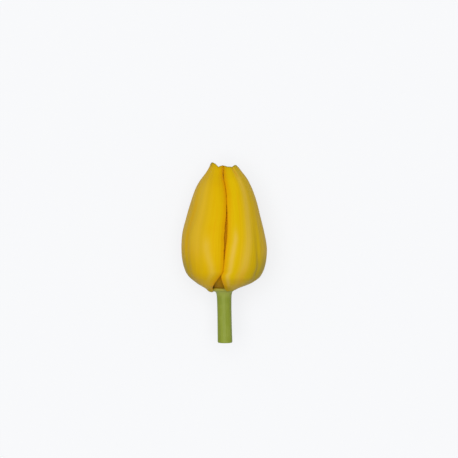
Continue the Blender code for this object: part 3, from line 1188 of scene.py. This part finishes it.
@dataclass(frozen=True)
class OuterWhorl(Whorl):
    """The three outer petals, which roll inwards at their margins and carry a furrow along the midrib."""

    # How far the margins roll in, as shares of the radius: along the petal, and further towards the mouth.
    valley: float = 0.13
    mouth_valley: float = 0.2
    mouth_start: float = 0.62
    valley_power: float = 4.0
    # Where the pouch low in a petal is, and how it is lost towards the high margin.
    pouch_place: Hump = Hump(1.0, 0.022, 0.035)
    pouch_loss: float = 0.6
    pouch_loss_start: float = 0.3
    # Heights over which a tip leans in.
    curl_span: Span = (46.0, 58.0)
    # The tucked corner: how far it goes in, turns and lifts, and where.
    tuck: float = 0.12
    tuck_turn: float = 3.5
    tuck_lift: float = 0.75
    tuck_start: float = 0.5
    tuck_place: Hump = Hump(1.0, 0.035, 0.05)
    lift_place: Hump = Hump(1.0, 0.025, 0.015)
    # The midrib's furrow, with the height below which it bends, and the crease at the tip.
    furrow_width: float = 1.5
    furrow_straight: float = 20.0
    furrow_start: float = 0.12
    furrow_end: Span = (0.35, 0.75)
    crease: Hump = Hump(0.4, 0.5)
    crease_span: Span = (51.5, 55.5)

    def surface(self, petal: Petal, across: float, share: float) -> Vector:
        """A point of the petal's outer face.

        Args:
            petal: the petal.
            across: the place across the petal, from -1 to 1.
            share: share of the outline's length.

        Returns:
            The point, in the flower frame.
        """
        radius, height = self.outline.at(share)
        azimuth = self.cup.azimuth(petal, across, share, radius, height)
        rooted = ease(share, 0.0, self.root_share)
        valley = self.valley * rooted + self.mouth_valley * ease(share, self.mouth_start, 1.0)
        pouch_left = 1 - self.pouch_loss * ease(across, self.pouch_loss_start, 1.0)
        swell = petal.fullness.at(height) + petal.pouch * self.pouch_place.at(share) * pouch_left
        curl = petal.curl * ease(height, *self.curl_span)
        corner = ease(across, self.tuck_start, 1.0) if petal.tucks else 0.0
        tucked = corner * self.tuck_place.at(share)
        azimuth -= self.tuck_turn * tucked
        height += self.tuck_lift * corner * self.lift_place.at(share)
        rolled = (1 - valley * abs(across) ** self.valley_power) * (1 - self.tuck * tucked)
        reach = (radius + swell) * rolled + self.relief(petal, across, height)
        reach -= self.grooves(petal, across, share, radius, height) + curl
        drop = (petal.low.lobe * (1 - across) + petal.high.lobe * (1 + across)) / 2
        return around(azimuth, reach, height - drop * (1 - rooted))

    def grooves(self, petal: Petal, across: float, share: float, radius: float, height: float) -> float:
        """Depth of the midrib's furrow and of the crease at the tip.

        Args:
            petal: the petal.
            across: the place across the petal, from -1 to 1.
            share: share of the outline's length.
            radius: the outline's radius there.
            height: and its height.

        Returns:
            The depth in millimetres.
        """
        furrow_at = petal.furrow + petal.furrow_bend * (1 - ease(height, 0.0, self.furrow_straight))
        strength = ease(share, 0.0, self.furrow_start) * (1 - ease(share, *self.furrow_end))
        from_furrow = radius * petal.half_angle * (across - furrow_at)
        depth = petal.furrow_depth * strength * bell(from_furrow, self.furrow_width)
        if petal.crease is not None:
            from_crease = radius * petal.half_angle * (across - petal.crease)
            depth += self.crease.at(from_crease) * ease(height, *self.crease_span)
        return depth

    def dress(self, petal: Petal) -> bpy.types.Material:
        """The material of one outer petal."""
        return PetalFinish(petal.name + "_skin", petal.seed, ground=petal.ground).make()


@dataclass(frozen=True)
class InnerWhorl(Whorl):
    """The three inner petals, broader at the tip and nearly hidden."""

    slot: Slot = Slot.INNER_PETAL
    thickness: float = 0.7
    cells_across: int = 72
    cells_along: int = 96
    raggedness: float = 0.3
    valley: float = 0.05
    valley_power: int = 3
    # Share of the relief, and the heights over which it sets in below the tip.
    relief_share: float = 0.6
    relief_span: Span = (52.0, 42.0)

    def surface(self, petal: Petal, across: float, share: float) -> Vector:
        """A point of the petal's outer face.

        Args:
            petal: the petal.
            across: the place across the petal, from -1 to 1.
            share: share of the outline's length.

        Returns:
            The point, in the flower frame.
        """
        radius, height = self.outline.at(share)
        azimuth = self.cup.azimuth(petal, across, share, radius, height)
        reach = radius * (1 - self.valley * abs(across) ** self.valley_power)
        relief = self.relief_share * self.relief(petal, across, height)
        return around(azimuth, reach + relief * ease(height, *self.relief_span), height)

    def dress(self, petal: Petal) -> bpy.types.Material:
        """The material of one inner petal."""
        return InnerPetalFinish(petal.name + "_skin", petal.seed).make()


@dataclass(frozen=True)
class Stem:
    """The stem from its cut end to the receptacle, in millimetres."""

    outline: tuple[Knot, ...] = (
        (3.1, -25.4), (3.36, -25.15), (3.37, -24.0), (3.29, -18.0), (3.25, -12.0), (3.3, -6.0),
        (3.45, -3.4), (3.85, -2.0), (4.4, -1.5), (4.85, -1.0), (4.75, -0.4), (4.1, 0.2), (2.6, 0.6),
    )
    cut_height: float = -25.4
    lean: float = 0.5
    # Shoulder beside the left petal: how far it stands out, where, and heights where it comes and goes.
    shoulder: float = 1.6
    shoulder_azimuth: float = -58.0
    shoulder_width: float = 20.0
    shoulder_start: Span = (-2.6, -0.8)
    shoulder_end: Span = (0.6, 0.0)
    # Two sets of ribs, each with depth, number, turn and twist per millimetre, and uneven lumps.
    ribs: tuple[tuple[float, float, float, float], ...] = ((0.035, 9, 0.4, 0.0), (0.02, 17, 0.0, 0.02))
    lump_depth: float = 0.06
    lump_pace_round: float = 1.2
    lump_pace_up: float = 0.08
    # Both fade into the cut's bevel and under the petals.
    bevel: float = 1.5
    shank_end: Span = (1.0, -3.0)
    # Amber at the top: heights where it comes beside the left petal, painted shade of that petal's foot, and
    # all round, partly the receptacle's own tone and partly painted shade, with this strength.
    amber_beside: Span = (-1.3, -0.5)
    amber_round: Span = (-0.9, 0.0)
    amber_strength: float = 0.75
    # The cut end: its hollow, its unevenness and its rings.
    dish: float = 0.22
    cut_grain: Ripples = Ripples(0.05, 4.0, 0.05)
    cut_seed: float = 2.0
    cut_rings: int = 9
    sides: int = 120
    rows: int = 170

    def ring(self, share: float, curve: Curve) -> list[Vector]:
        """One ring of points round the stem, with its faint ribs.

        Args:
            share: share of the outline's length.
            curve: the outline.

        Returns:
            The points, towards rising azimuths.
        """
        radius, height = curve.at(share)
        centre = self.lean * max(0.0, height / self.cut_height)
        shank = ease(height, self.cut_height, self.cut_height + self.bevel) * ease(height, *self.shank_end)
        shoulder = self.shoulder * ease(height, *self.shoulder_start) * ease(height, *self.shoulder_end)
        points = []
        for i in range(self.sides):
            azimuth = 360 * i / self.sides
            angle = math.radians(azimuth)
            relief = 0.0
            for depth, number, turn, twist in self.ribs:
                relief += depth * math.sin(number * angle + turn + height * twist)
            x, y = math.cos(angle) * self.lump_pace_round, math.sin(angle) * self.lump_pace_round
            relief += self.lump_depth * ripple(x, y, height * self.lump_pace_up)
            swell = shoulder * self.beside_petal(azimuth)
            point = around(azimuth, radius + relief * shank + swell, height)
            points.append(point + Vector((centre, 0, 0)))
        return points

    def beside_petal(self, azimuth: float) -> float:
        """How much the receptacle's shoulder beside the left petal's foot shows here, from 0 to 1."""
        from_shoulder = (azimuth - self.shoulder_azimuth + 180) % 360 - 180
        return bell(from_shoulder, self.shoulder_width)

    def build(self, axis: FlowerAxis) -> bpy.types.Object:
        """Builds and dresses the stem.

        Args:
            axis: the flower's axis.

        Returns:
            The piece.
        """
        curve = Curve(self.outline)
        skin = Skin(axis)
        rows = []
        for j in range(self.rows + 1):
            along = j / self.rows
            row = []
            for i, point in enumerate(self.ring(along, curve)):
                beside = self.beside_petal(360 * i / self.sides) * ease(point.z, *self.amber_beside)
                # Amber: painted shade beside the left petal's foot, and all round the top partly own tone
                # and partly painted shade.
                amber = max(beside, self.amber_strength * ease(point.z, *self.amber_round))
                row.append(skin.point(point, 2 * i / self.sides - 1, along, {Tone.WARM: amber}))
            rows.append(row)
        skin.quilt(rows, closed=True)
        self.close_cut(skin, rows[0])
        skin.fan(skin.point(Vector((0, 0, self.outline[-1][1])), 0.0, 1.0), rows[-1])
        finish = StemFinish()
        return skin.finish("flower_stem", ["stem"], Slot.STEM, [finish.make(), finish.make_cut()])

    def close_cut(self, skin: Skin, rim: Sequence[Point]) -> None:
        """Closes the cut end with a slightly dished and uneven face.

        Args:
            skin: the stem's skin.
            rim: the points round the cut.
        """
        rows = [list(rim)]
        for step in range(1, self.cut_rings):
            share = 1 - step / self.cut_rings
            row = []
            for i in range(self.sides):
                azimuth = 360 * i / self.sides
                hollow = self.dish * (1 - share**2) + self.cut_grain.at(share, azimuth, self.cut_seed)
                point = around(azimuth, self.outline[0][0] * share, self.cut_height + hollow)
                row.append(skin.point(point + Vector((self.lean, 0, 0)), 0.0, 0.0))
            rows.append(row)
        skin.quilt(rows, closed=True, flip=True, material=1)
        middle = skin.point(Vector((self.lean, 0, self.cut_height + self.dish)), 0.0, 0.0)
        skin.fan(middle, rows[-1], flip=True, material=1)


def oval_point(
    centre: Vector, azimuth: float, angle: float, half_width: float, half_depth: float
) -> Vector:
    """A point of an oval that faces this azimuth.

    Args:
        centre: the oval's middle.
        azimuth: the way that it faces.
        angle: where the point is round it, in radians.
        half_width: half axis sideways.
        half_depth: half axis towards the flower's axis.

    Returns:
        The point.
    """
    side = around(azimuth + 90, half_width * math.cos(angle), 0)
    depth = around(azimuth + 180, half_depth * math.sin(angle), 0)
    return centre + side + depth


@dataclass(frozen=True)
class Stamens:
    """Six stamens, each a thread with an anther on its needle tip, in millimetres."""

    count: int = 6
    # Distance from the flower's axis, height and radius.
    thread: tuple[tuple[float, float, float], ...] = (
        (2.35, 1.0, 0.42), (2.7, 4.0, 0.55), (3.5, 8.0, 0.42), (4.6, 11.6, 0.14),
    )
    thread_sides: int = 16
    thread_rows: int = 30
    # Heights of the anther's two ends and their distances from the axis.
    foot: float = 12.0
    head: float = 23.4
    foot_distance: float = 4.75
    head_distance: float = 5.6
    half_width: float = 1.25
    half_depth: float = 0.85
    # How square its ends are, how nearly they run out to a point, and the least square of its fullness.
    end_power: int = 4
    end_reach: float = 0.99
    end_fullness: float = 0.004
    # The furrows between the two sacs: their depth as a share, and how narrow they are.
    waist: float = 0.352
    waist_power: int = 6
    grains: Ripples = Ripples(0.04, 2.2, 1.6)
    grain_seed: float = 5.0
    sides: int = 32
    rows: int = 48
    thread_finish: GrainFinish = GrainFinish(
        "stamen_thread_skin",
        ground=(0.66, 0.60, 0.22),
        clouds=(0.70, 0.68, 0.34),
        cloud_scale=400.0,
        grain_scale=3000.0,
        grain_depth=0.00001,
        roughness=0.5,
    )
    pollen_finish: GrainFinish = GrainFinish(
        "pollen_skin",
        ground=(0.62, 0.42, 0.05),
        clouds=(0.72, 0.55, 0.14),
        cloud_scale=700.0,
        grain_scale=5200.0,
        grain_depth=0.00009,
        roughness=0.9,
    )

    def build(self, axis: FlowerAxis) -> list[bpy.types.Object]:
        """Builds and dresses every stamen.

        Args:
            axis: the flower's axis.

        Returns:
            The pieces.
        """
        cream, pollen = self.thread_finish.make(), self.pollen_finish.make()
        made = []
        for n in range(self.count):
            azimuth = 360 * n / self.count
            made.append(self.build_thread(axis, n + 1, azimuth, cream))
            made.append(self.build_anther(axis, n + 1, azimuth, pollen))
        return made

    def build_thread(
        self, axis: FlowerAxis, number: int, azimuth: float, material: bpy.types.Material
    ) -> bpy.types.Object:
        """Builds the thread of one stamen.

        Args:
            axis: the flower's axis.
            number: the stamen's number, from 1.
            azimuth: where it stands.
            material: its material.

        Returns:
            The piece.
        """
        curve = Curve(self.thread)
        skin = Skin(axis)
        rows = []
        for j in range(self.thread_rows + 1):
            distance, height, radius = curve.at(j / self.thread_rows)
            centre = around(azimuth, distance, height)
            row = []
            for i in range(self.thread_sides):
                angle = 2 * math.pi * i / self.thread_sides
                point = oval_point(centre, azimuth, angle, radius, radius)
                row.append(skin.point(point, 0.0, j / self.thread_rows))
            rows.append(row)
        skin.tube(rows)
        return skin.finish(f"stamen_thread_{number}", [f"filament_{number}"], Slot.FILAMENT, [material])

    def build_anther(
        self, axis: FlowerAxis, number: int, azimuth: float, material: bpy.types.Material
    ) -> bpy.types.Object:
        """Builds one anther: two pollen sacs with a furrow down each face.

        Args:
            axis: the flower's axis.
            number: the stamen's number, from 1.
            azimuth: where it stands.
            material: its material.

        Returns:
            The piece.
        """
        skin = Skin(axis)
        rows = []
        for j in range(self.rows + 1):
            rise = j / self.rows
            from_middle = self.end_reach * abs(2 * rise - 1)
            fullness = math.sqrt(max(self.end_fullness, 1 - from_middle**self.end_power))
            distance = self.foot_distance + (self.head_distance - self.foot_distance) * rise
            height = self.foot + (self.head - self.foot) * rise
            centre = around(azimuth, distance, height)
            row = []
            for i in range(self.sides):
                angle = 2 * math.pi * i / self.sides
                sacs = 1 - self.waist * abs(math.sin(angle)) ** self.waist_power
                reach = fullness * sacs * (1 + self.grains.at(angle, height, number * self.grain_seed))
                point = oval_point(centre, azimuth, angle, self.half_width * reach, self.half_depth * reach)
                row.append(skin.point(point, 0.0, rise))
            rows.append(row)
        skin.tube(rows)
        return skin.finish(f"anther_sacs_{number}", [f"anther_{number}"], Slot.POLLEN, [material])


@dataclass(frozen=True)
class Pistil:
    """The three-sided ovary with its three-lobed stigma, in millimetres."""

    # Radius, height and how strongly the ring is three-lobed.
    rings: tuple[tuple[float, float, float], ...] = (
        (1.1, 0.98, 0.0), (1.4, 1.6, 0.04), (1.8, 4.0, 0.08), (2.3, 8.5, 0.10), (2.45, 12.5, 0.10),
        (2.3, 16.5, 0.10), (2.0, 18.6, 0.12), (2.5, 19.8, 0.22), (3.3, 21.0, 0.34), (3.2, 22.0, 0.42),
        (2.1, 22.3, 0.45), (0.9, 21.6, 0.30),
    )
    lobes: int = 3
    # The stigma's frill, and the heights over which it sets in.
    frill: Ripples = Ripples(0.03, 3.0, 1.0, 1.0)
    frill_span: Span = (18.5, 20.5)
    sides: int = 72
    rows: int = 90
    skin_finish: GrainFinish = GrainFinish(
        "pistil_skin",
        ground=(0.42, 0.50, 0.16),
        clouds=(0.52, 0.58, 0.24),
        cloud_scale=500.0,
        grain_scale=4200.0,
        grain_depth=0.000015,
        roughness=0.5,
    )

    def build(self, axis: FlowerAxis) -> bpy.types.Object:
        """Builds and dresses the pistil.

        Args:
            axis: the flower's axis.

        Returns:
            The piece.
        """
        curve = Curve(self.rings)
        skin = Skin(axis)
        rows = []
        for j in range(self.rows + 1):
            radius, height, lobing = curve.at(j / self.rows)
            row = []
            for i in range(self.sides):
                angle = 2 * math.pi * i / self.sides
                frill = 1 + self.frill.at(angle, height, 0.0) * ease(height, *self.frill_span)
                reach = radius * (1 + lobing * math.cos(self.lobes * angle)) * frill
                point = Vector((reach * math.cos(angle), reach * math.sin(angle), height))
                row.append(skin.point(point, 0.0, j / self.rows))
            rows.append(row)
        skin.tube(rows)
        return skin.finish("seed_vessel", ["pistil"], Slot.PISTIL, [self.skin_finish.make()])


@dataclass(frozen=True)
class Lamp:
    """A broad far-off light. The direction is where it stands, seen from the flower."""

    name: str
    direction: tuple[float, float, float]
    strength: float
    spread: float
    colour: Colour = (1.0, 1.0, 1.0)

    def build(self) -> None:
        """Adds the lamp to the scene."""
        light = bpy.data.lights.new(self.name, "SUN")
        light.energy = self.strength
        light.angle = math.radians(self.spread)
        light.color = self.colour
        made = bpy.data.objects.new(self.name, light)
        made.rotation_euler = (-Vector(self.direction)).to_track_quat("-Z", "Y").to_euler()
        bpy.context.scene.collection.objects.link(made)


@dataclass(frozen=True)
class Studio:
    """Table, light and camera."""

    table_colour: Colour = (0.940, 0.947, 0.964)
    # What the table throws back on the flower, and how much of its shadow shows.
    bounce_colour: Colour = (0.36, 0.36, 0.36)
    shadow_share: float = 0.22
    sky_strength: float = 0.325
    # Lens and sensor are in millimetres, all other lengths in metres.
    table_size: float = 6.0
    lens: float = 85.0
    sensor: float = 36.0
    camera_distance: float = 0.499
    aim: tuple[float, float] = (0.00235, 0.0270)
    lamps: tuple[Lamp, ...] = (Lamp("front_window", (-0.07, 0.08, 1.0), 2.15, 52.0),)

    def build(self, axis: FlowerAxis) -> None:
        """Sets up the table, the lamps, the sky and the camera.

        Args:
            axis: the flower's axis, at which the camera looks.
        """
        self.build_table()
        self.build_sky()
        for lamp in self.lamps:
            lamp.build()
        self.build_camera(axis)
        bpy.context.scene.view_settings.view_transform = "Standard"

    def seen_directly(self, finish: Finish) -> Socket:
        """Tells rays that show the background: from the camera, a mirror or glass.

        Args:
            finish: the finish that asks.

        Returns:
            A socket that is 1 for them and 0 for others.
        """
        path = finish.node("LightPath")
        seen = finish.maths("ADD", path.outputs["Is Camera Ray"], path.outputs["Is Glossy Ray"])
        seen = finish.maths("ADD", seen, path.outputs["Is Transmission Ray"])
        return finish.maths("MINIMUM", seen, 1.0)

    def build_table(self) -> None:
        """The pale table: plain where it is seen, with the flower's soft shadow."""
        half = self.table_size / 2
        data = bpy.data.meshes.new("table")
        corners = [(-half, -half, 0), (half, -half, 0), (half, half, 0), (-half, half, 0)]
        data.from_pydata(corners, [], [(0, 1, 2, 3)])
        finish = Finish("table_paint")
        tree = finish.tree
        seen = self.seen_directly(finish)
        colour = finish.blend(seen, self.bounce_colour, self.table_colour)
        finish.shade(Base_Color=colour, Roughness=0.9, Specular_IOR_Level=0.0)
        glow = finish.node("Emission", (*self.table_colour, 1.0), 1.0)
        share = finish.maths("MULTIPLY", seen, 1 - self.shadow_share)
        mixed = finish.node("MixShader", share, finish.shader.outputs[0], glow.outputs[0])
        tree.links.new(mixed.outputs[0], tree.nodes["Material Output"].inputs["Surface"])
        data.materials.append(finish.material)
        table = bpy.data.objects.new("table", data)
        bpy.context.scene.collection.objects.link(table)

    def build_sky(self) -> None:
        """Even light from all round, as pale as the table where it is seen."""
        world = bpy.data.worlds.new("sky")
        bpy.context.scene.world = world
        world.use_nodes = True
        nodes, links = world.node_tree.nodes, world.node_tree.links
        path = nodes.new("ShaderNodeLightPath")
        light = nodes["Background"]
        light.inputs["Color"].default_value = (1.0, 1.0, 1.0, 1.0)
        light.inputs["Strength"].default_value = self.sky_strength
        seen = nodes.new("ShaderNodeBackground")
        seen.inputs["Color"].default_value = (*self.table_colour, 1.0)
        mix = nodes.new("ShaderNodeMixShader")
        links.new(path.outputs["Is Camera Ray"], mix.inputs[0])
        links.new(light.outputs[0], mix.inputs[1])
        links.new(seen.outputs[0], mix.inputs[2])
        links.new(mix.outputs[0], nodes["World Output"].inputs["Surface"])

    def build_camera(self, axis: FlowerAxis) -> None:
        """Adds the camera, straight above the flower, with the flower's tip up in the picture.

        Args:
            axis: the flower's axis.
        """
        data = bpy.data.cameras.new("camera")
        data.lens, data.sensor_width = self.lens, self.sensor
        data.clip_start = 0.01
        camera = bpy.data.objects.new("camera", data)
        camera.location = axis.origin + Vector((*self.aim, self.camera_distance))
        bpy.context.scene.collection.objects.link(camera)
        bpy.context.scene.camera = camera


# Radii and heights of a petal's outline, from the foot to the tip.
OUTER_OUTLINE = Curve(
    (
        (4.7, -1.2), (5.9, -1.8), (8.0, -0.7), (12.6, 2.1), (18.0, 8.0), (19.9, 16.5), (18.8, 27.0),
        (15.4, 39.5), (11.6, 49.2), (7.1, 55.4), (6.3, 58.0),
    )
)
INNER_OUTLINE = Curve(
    (
        (4.2, 0.0), (5.7, 0.2), (7.4, 1.5), (10.4, 4.6), (14.2, 10.5), (15.2, 18.0), (14.2, 28.0),
        (10.9, 40.0), (7.3, 47.8), (4.3, 51.8), (2.1, 53.9), (0.6, 55.2),
    )
)
OUTER_PETALS = (
    Petal(
        "left_outer_petal",
        "outer_tepal_left",
        Margin(-119.0, -124.0, lobe=0.3),
        Margin(0.0, -55.0, foot_power=1.35, lobe=0.3, parting=0.22, gapes=True, waviness=0.25),
        end=(
            (-1.0, 53.0), (-0.6, 53.7), (-0.5, 55.25), (-0.28, 56.6), (-0.1, 57.35), (0.0, 57.65),
            (0.1, 57.6), (0.3, 57.17), (0.44, 56.8), (0.56, 56.05), (0.68, 55.43), (0.8, 55.76),
            (0.88, 56.02), (0.96, 56.16), (1.0, 55.95),
        ),
        seed=11.3,
        fullness=Profile(
            (
                (-1.2, -0.2), (0.7, -0.5), (2.5, -0.1), (4.4, 0.35), (6.2, 0.3), (9.0, 0.0),
                (16.5, -0.15), (20.0, 0.0), (26.0, 0.27), (32.0, 0.05), (46.0, 0.0), (51.5, -0.55),
                (55.0, -0.2),
            )
        ),
        pouch=0.5,
        tucks=True,
        furrow=0.02,
        furrow_depth=0.3,
        # Painted streaks: sheen (pale); orange glow and shade along the furrow and low down (warm); shade on
        # the foot, the lobe and the tip (olive).
        streaks=(
            Streak(Tone.PALE, ((7.0, 0.74), (9.0, 0.71), (15.0, 0.63), (19.0, 0.59)), 0.08, 0.6),
            Streak(Tone.PALE, ((20.0, 0.3), (46.0, 0.2)), 0.22, 0.4, 7.0),
            Streak(Tone.WARM, ((22.0, 0.0), (37.0, 0.04)), 0.05, 0.35),
            Streak(Tone.WARM, ((4.0, 0.1), (16.0, 0.1)), 0.25, 0.2, 5.0),
            Streak(Tone.OLIVE, ((0.0, -0.1), (9.0, -0.2)), 0.35, 0.5, 6.0),
            Streak(Tone.OLIVE, ((-3.0, 0.6), (-1.2, 0.6)), 0.5, 0.5, 1.2),
            Streak(Tone.PALE, ((28.0, -0.25), (50.0, -0.25)), 0.14, 0.35, 6.0),
            Streak(Tone.OLIVE, ((56.6, 0.0), (57.4, 0.0)), 0.05, 0.8, 0.6),
        ),
    ),
    Petal(
        "right_outer_petal",
        "outer_tepal_right",
        Margin(0.0, 14.0, foot_power=1.2, lobe=-0.1, parting=0.22, corner=0.06, gapes=True),
        Margin(119.0, 124.0, lobe=-1.1),
        end=(
            (-1.0, 55.85), (-0.9, 55.87), (-0.78, 55.56), (-0.55, 55.42), (-0.43, 55.35), (-0.35, 55.52),
            (-0.27, 55.97), (-0.12, 56.26), (0.05, 56.18), (0.25, 55.34), (0.42, 53.98), (0.6, 53.1),
            (1.0, 52.6),
        ),
        seed=23.7,
        fullness=Profile(
            (
                (-1.2, -0.8), (0.7, 0.15), (2.5, 0.9), (4.4, 1.2), (6.5, 0.65), (9.0, 0.3), (13.0, 0.07),
                (18.0, -0.05), (24.0, -0.3), (32.0, -0.45), (37.6, -0.15), (41.0, 0.0),
            )
        ),
        ground=(0.722, 0.474, 0.0014),
        furrow=-0.18,
        furrow_bend=0.26,
        crease=-0.38,
        # Painted streaks: sheen (pale); orange glow and shade beside the sheen, low down and in the crease
        # at the tip (warm); shade along the furrow, on the foot and the lobe (olive).
        streaks=(
            Streak(Tone.PALE, ((3.0, -0.82), (12.0, -0.83), (22.0, -0.79)), 0.055, 0.95),
            Streak(Tone.WARM, ((10.0, -0.69), (25.0, -0.65), (39.0, -0.63), (51.0, -0.5)), 0.04, 0.1),
            Streak(Tone.PALE, ((10.0, -0.5), (50.0, -0.36)), 0.11, 0.75, 8.0),
            Streak(Tone.OLIVE, ((8.0, -0.17), (22.0, -0.18)), 0.13, 0.1),
            Streak(Tone.WARM, ((4.0, -0.45), (6.0, -0.47)), 0.08, 0.3),
            Streak(Tone.WARM, ((52.0, -0.38), (55.5, -0.38)), 0.03, 0.8, 1.5),
            Streak(Tone.OLIVE, ((0.0, 0.1), (9.0, 0.2)), 0.35, 0.5, 5.0),
            Streak(Tone.OLIVE, ((-3.0, -0.6), (-1.2, -0.6)), 0.5, 0.3, 1.2),
            Streak(Tone.PALE, ((8.0, 0.1), (50.0, 0.1)), 0.2, 0.35, 8.0),
        ),
    ),
    Petal(
        "back_outer_petal",
        "outer_tepal_back",
        Margin(119.0, 131.0, lobe=-0.5),
        Margin(241.0, 233.0),
        end=(
            (-1.0, 52.6), (-0.5, 53.6), (-0.22, 54.7), (-0.09, 55.8), (0.0, 56.5), (0.06, 56.65),
            (0.2, 56.3), (0.38, 55.6), (0.6, 54.2), (1.0, 53.0),
        ),
        seed=37.1,
        curl=1.3,
        # Painted streaks: sheen (pale), and shade at the tip (olive).
        streaks=(
            Streak(Tone.PALE, ((2.0, 0.05), (30.0, 0.0)), 0.12, 0.7, 6.0),
            Streak(Tone.PALE, ((14.0, -0.5), (46.0, -0.4)), 0.15, 0.4, 8.0),
            Streak(Tone.PALE, ((14.0, 0.5), (46.0, 0.4)), 0.15, 0.4, 8.0),
            Streak(Tone.OLIVE, ((56.3, 0.05), (56.7, 0.05)), 0.05, 0.5, 0.4),
        ),
    ),
)
INNER_PETALS = (
    Petal(
        "front_inner_petal",
        "inner_tepal_front",
        Margin(-64.0, -76.0),
        Margin(56.0, 60.0),
        end=((-1.0, 54.85), (-0.5, 54.9), (-0.15, 55.05), (0.1, 55.0), (0.5, 54.85), (1.0, 54.85)),
        seed=41.9,
        # Painted streaks: orange glow where it shows through the front seam (warm), and shade where the seam
        # opens widest (olive).
        streaks=(
            Streak(Tone.WARM, ((8.0, 0.07), (50.0, 0.07)), 0.16, 1.0, 5.0),
            Streak(Tone.OLIVE, ((21.5, 0.07), (28.5, 0.07)), 0.16, 0.3, 3.0),
        ),
    ),
    Petal(
        "back_right_inner_petal",
        "inner_tepal_back_right",
        Margin(56.0, 62.0),
        Margin(176.0, 178.0),
        end=((-1.0, 54.85), (-0.4, 54.9), (0.0, 55.05), (0.5, 54.9), (1.0, 54.8)),
        seed=53.3,
    ),
    Petal(
        "back_left_inner_petal",
        "inner_tepal_back_left",
        Margin(176.0, 180.0),
        Margin(296.0, 284.0),
        end=((-1.0, 54.8), (-0.5, 54.9), (0.05, 55.1), (0.5, 54.9), (1.0, 54.85)),
        seed=67.9,
    ),
)


def main() -> None:
    """Builds the flower and the studio round it."""
    logging.basicConfig(level=logging.INFO, format="%(name)s: %(message)s")
    stem = Stem()
    axis = FlowerAxis.of_stem(stem.cut_height)
    cup = Cup()
    stem.build(axis)
    OuterWhorl(cup, axis, OUTER_OUTLINE, OUTER_PETALS).build()
    InnerWhorl(cup, axis, INNER_OUTLINE, INNER_PETALS).build()
    Stamens().build(axis)
    Pistil().build(axis)
    Studio().build(axis)


if __name__ == "__main__":
    main()
